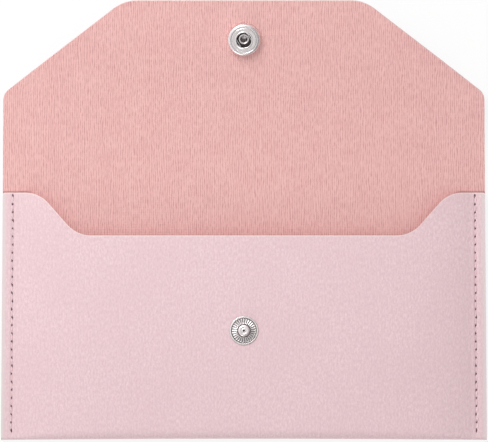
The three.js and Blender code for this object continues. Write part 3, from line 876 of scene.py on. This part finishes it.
def add_stud(material):
    """The stud: a thin rim, a ring of pressed flutes, and the knob."""
    profile = round_corners([
        (1.25, 0, 0),
        (STUD_RADIUS, 0, 0.05),
        (STUD_RADIUS, 0.35, 0.14),
        (4.7, 0.38, 0.08),
        (4.55, 0.2, 0.05),
        (4.4, 0.2, 0.05),
        (4.3, 0.36, 0),
        (4.1, 0.42, 0),
        (3.6, 0.5, 0),
        (3.1, 0.6, 0),
        (2.65, 0.68, 0),
        (2.5, 0.7, 0.04),
        (2.35, 0.55, 0.05),
        (2.1, 0.55, 0.08),
        (KNOB_NECK_RADIUS, 0.7, 0.1),
        (KNOB_NECK_RADIUS, 1.35, 0.2),
        (KNOB_RADIUS, 1.65, 0.2),
        (KNOB_RADIUS, KNOB_HEIGHT, 0.5),
        (1.15, KNOB_HEIGHT, 0.12),
        (0.95, 2.22, 0.12),
        (0.75, 2.3, 0.1),
        (0.35, 2.3, 0.08),
        (0.35, 1.9, 0),
        (1.25, 1.9, 0),
    ], steps=3)

    def pressed(radius, height, angle):
        """1 in the middle of a flute, 0 between two flutes and outside their ring."""
        in_ring = 2.6 < radius < 4.2 and 0.4 < height < 0.7
        if not in_ring:
            return 0.0
        return (0.5 - 0.5 * math.cos(FLUTE_COUNT * angle)) ** 0.8

    def flute(radius, height, angle):
        return height - FLUTE_DEPTH * pressed(radius, height, angle)

    def shade_and_tarnish(radius, height, angle):
        # Painted shade in the groove and round the neck under the knob, and a painted contact shadow
        # on the rim's outer edge. The flutes are darker in their middles.
        in_groove = 4.35 < radius < 4.6 and 0.1 < height < 0.3
        round_neck = 1.8 < radius < 2.45 and height < 1.6
        on_rim = radius > 5.15
        if in_groove:
            return 0.85
        if round_neck:
            return 0.8
        if on_rim:
            return 0.5
        return 0.8 * pressed(radius, height, angle)

    turned("snap_stud_turned", "snap_stud", "pocket", profile, FLUTE_COUNT * 8, stud_seat(),
           material, flute, shade_and_tarnish)


def add_stud_post(material):
    """The stud's eyelet: its flange lies under the front panel, and its tube stands in the knob."""
    flange_top = -THICKNESS
    flange_bottom = flange_top - EYELET_FLANGE_THICKNESS
    top = 1.6
    profile = round_corners([
        (EYELET_BORE_RADIUS, flange_bottom, 0.2),
        (EYELET_FLANGE_RADIUS, flange_bottom, 0.22),
        (EYELET_FLANGE_RADIUS, flange_top, 0.05),
        (EYELET_RADIUS, flange_top, 0),
        (EYELET_RADIUS, top, 0.1),
        (EYELET_BORE_RADIUS, top, 0.1),
    ], steps=4)
    turned("snap_stud_eyelet", "snap_stud_post", "pocket", profile, 64, stud_seat(), material)


def add_socket(material):
    """The socket: a rounded rim, a shallow groove, and the recess with its spring slot."""
    low = SEAT_CLEARANCE
    profile = round_corners([
        (1.65, low, 0),
        (SOCKET_RADIUS, low, 0.3),
        (SOCKET_RADIUS, low + SOCKET_HEIGHT, 1.0),
        (4.85, low + SOCKET_HEIGHT, 0.06),
        (4.72, low + 2.48, 0.06),
        (4.5, low + 2.48, 0.06),
        (4.37, low + 2.56, 0.06),
        (3.3, low + 2.52, 0.1),
        (3.1, low + 2.62, 0.08),
        (RECESS_RADIUS, low + 2.62, 0.16),
        (RECESS_RADIUS, low + SPRING_SLOT_TOP, 0.04),
        (SPRING_SLOT_RADIUS, low + SPRING_SLOT_TOP, 0),
        (SPRING_SLOT_RADIUS, low + SPRING_SLOT_BOTTOM, 0),
        (RECESS_RADIUS, low + SPRING_SLOT_BOTTOM, 0.04),
        (RECESS_RADIUS, low + SOCKET_FLOOR, 0.1),
        (1.65, low + SOCKET_FLOOR, 0),
    ], steps=5)

    def shade_and_tarnish(radius, height, angle):
        # Painted shade: dark in the recess and its spring slot, a little darker in the groove.
        in_recess = radius < 4.4 and 0.3 < height - low < 2.4
        in_groove = 4.4 < radius < 4.8 and height - low > 2.3
        if in_recess:
            return 0.95
        return 0.25 if in_groove else 0.0

    turned("snap_socket_turned", "snap_socket", "flap", profile, 96, snap_seat(), material,
           shade_and_tarnish=shade_and_tarnish)


def add_springs(material):
    """Each spring wire crosses the recess aslant and hooks back at both ends."""
    tilt = snap_seat() @ Matrix.Rotation(SPRING_TILT, 4, "Z")
    middle = SEAT_CLEARANCE + (SPRING_SLOT_BOTTOM + SPRING_SLOT_TOP) / 2
    hook = [(SPRING_WIRE_X + 0.04, 2.7), (2.8, 3.05), (3.05, 2.75)]
    bends = [(x, -y) for x, y in reversed(hook)] + [(SPRING_WIRE_X, 0)] + hook
    for word, side in SIDES:
        path = [Vector((side * x, y, middle)) for x, y in bends]
        line = [tilt @ point for point in smooth_path(path, spacing=0.2)]
        vertices, faces = tube(line, SPRING_WIRE_RADIUS, sides=10)
        made = make_object(f"socket_wire_{word}", vertices, faces, [material], "flap")
        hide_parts(f"socket_spring_{word}")


def add_cap(material):
    """The domed cap on the flap's outer side, rolled in at its rim."""
    seat = -THICKNESS - SEAT_CLEARANCE
    curl_top = seat - CAP_CURL_THICKNESS
    pinhole = 0.02

    def dome(wall, angles):
        radius = CAP_RADIUS - wall
        height = CAP_HEIGHT - wall
        return [(max(pinhole, radius * math.sin(a)), seat - height * math.cos(a)) for a in angles]

    inner_end = math.acos(CAP_CURL_THICKNESS / (CAP_HEIGHT - CAP_WALL))
    profile = dome(0, [math.pi / 2 * k / 24 for k in range(25)])
    profile += [
        (CAP_CURL_RADIUS + CAP_CURL_BEVEL, seat),
        (CAP_CURL_RADIUS, seat - CAP_CURL_BEVEL),
        (CAP_CURL_RADIUS, curl_top + CAP_CURL_BEVEL),
        (CAP_CURL_RADIUS + CAP_CURL_BEVEL, curl_top),
    ]
    profile += dome(CAP_WALL, [inner_end * k / 20 for k in range(20, -1, -1)])
    turned("snap_cap_domed", "snap_cap", "flap", profile, 96, snap_seat(), material)


def add_cap_post(material):
    """The hollow post whose end is rolled over the socket's floor."""
    flange = -THICKNESS - SEAT_CLEARANCE - 0.75
    flare = SEAT_CLEARANCE + 0.6
    profile = round_corners([
        (1.1, flange, 0.1),
        (5.0, flange, 0.1),
        (5.0, flange + 0.3, 0.05),
        (1.5, flange + 0.3, 0.1),
        (1.5, flare, 0.05),
        (1.95, flare, 0.05),
        (2.0, flare + 0.42, 0.19),
        (1.5, flare + 0.46, 0.22),
        (1.1, flare + 0.1, 0.3),
    ], steps=4)

    def shade_and_tarnish(radius, height, angle):
        # Painted shade inside the post's bore.
        return 0.7 if radius < 1.3 else 0.0

    turned("snap_cap_rivet", "snap_cap_post", "flap", profile, 72, snap_seat(), material,
           shade_and_tarnish=shade_and_tarnish)


# The stage

def add_floor():
    """A pale matt ground. The camera and the metal see it whiter, with the wallet's shadow on it."""
    glow_strength = 1.04
    glow_share = 0.8
    half = 3000
    level = -0.05
    shader = Shader("white_ground")
    shader.set(Base_Color=(0.82, 0.81, 0.81, 1.0), Roughness=0.9)
    glow = shader.nodes.new("ShaderNodeEmission")
    glow.inputs["Color"].default_value = WHITE
    glow.inputs["Strength"].default_value = glow_strength
    rays = shader.nodes.new("ShaderNodeLightPath")
    seen = shader.math("MAXIMUM", rays.outputs["Is Camera Ray"], rays.outputs["Is Glossy Ray"])
    shader.show_mix(shader.math("MULTIPLY", seen, glow_share), shader.surface.outputs[0],
                    glow.outputs[0], shader.nodes["Material Output"])
    corners = [(x, y, level) for x, y in ((-half, -half), (half, -half), (half, half), (-half, half))]
    floor = make_object("ground", corners, [(0, 1, 2, 3)], [shader.material])


def add_world():
    """A studio: white to the camera, pale and a little darker at the sides as light. Metal sees
    it white as well, in soft panels with darker gaps between them."""
    world = bpy.data.worlds.new("studio")
    bpy.context.scene.world = world
    world.use_nodes = True
    tree = Nodes(world.node_tree)
    tree.nodes.clear()
    direction = tree.nodes.new("ShaderNodeTexCoord").outputs["Generated"]
    height = tree.parts(direction)["Z"]
    daylight = tree.ramp(height, 0.0, 1.0, first=0.42, last=0.64, kind="LINEAR")
    slope = tree.nodes.new("ShaderNodeVectorMath")
    slope.operation = "DOT_PRODUCT"
    slope.inputs[1].default_value = (-0.2, 0.2, 0.0)
    tree.links.new(direction, slope.inputs[0])
    clouds = tree.noise(direction, scale=2.4, detail=1.0)
    panels = tree.math("ADD", slope.outputs["Value"], clouds)
    panels = tree.ramp(panels, 0.38, 0.6, first=0.35, last=1.0, kind="LINEAR")
    rays = tree.nodes.new("ShaderNodeLightPath")
    level = tree.mix(rays.outputs["Is Glossy Ray"], daylight, panels, kind="FLOAT")
    backgrounds = []
    for strength in (level, 1.0):
        background = tree.nodes.new("ShaderNodeBackground")
        background.inputs["Color"].default_value = WHITE
        tree.plug(strength, background.inputs["Strength"])
        backgrounds.append(background.outputs[0])
    output = tree.nodes.new("ShaderNodeOutputWorld")
    tree.show_mix(rays.outputs["Is Camera Ray"], *backgrounds, output)


def add_light(name, place, size, power):
    """A square softbox at a place in metres, turned to the wallet."""
    data = bpy.data.lights.new(name, "AREA")
    data.size = size
    data.energy = power
    lamp = bpy.data.objects.new(name, data)
    lamp.location = place
    lamp.rotation_euler = (-Vector(place)).to_track_quat("-Z", "Y").to_euler()
    bpy.context.scene.collection.objects.link(lamp)


def add_camera():
    """Straight above. The picture is 488 pixels wide, and a pixel is 0.3645 mm on the pocket."""
    distance = 2500
    pixel = 0.3645
    middle_of_fold = (243.9, 184.9)
    picture = (488, 442)
    sensor_width = 36
    data = bpy.data.cameras.new("camera")
    data.sensor_fit = "HORIZONTAL"
    data.sensor_width = sensor_width
    data.lens = sensor_width * distance / (picture[0] * pixel)
    data.clip_end = 20
    camera = bpy.data.objects.new("camera", data)
    x = (picture[0] / 2 - middle_of_fold[0]) * pixel
    y = FOLD_Y + (middle_of_fold[1] - picture[1] / 2) * pixel
    camera.location = Vector((x, y, distance)) * MM
    bpy.context.scene.collection.objects.link(camera)
    bpy.context.scene.camera = camera


def main():
    sheet = leather_sheet([grain_material(), knit_material(), edge_material()])
    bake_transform(sheet)
    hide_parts("pocket_sheet", "flap_sheet")
    add_threads(thread_material())
    nickel = nickel_material("bright_nickel", (0.95, 0.885, 0.885, 1.0), 0.2)
    steel = nickel_material("drawn_steel", (0.95, 0.94, 0.94, 1.0), 0.3)
    add_stud(nickel)
    add_stud_post(nickel)
    add_socket(nickel)
    add_springs(steel)
    add_cap(nickel)
    add_cap_post(nickel)
    add_floor()
    add_world()
    add_light("key", place=(-0.19, 0.35, 0.43), size=0.34, power=1.98)
    add_light("fill", place=(-0.35, -1.2, 0.25), size=0.6, power=3.4)
    add_camera()
    bpy.context.scene.view_settings.view_transform = "Standard"


main()
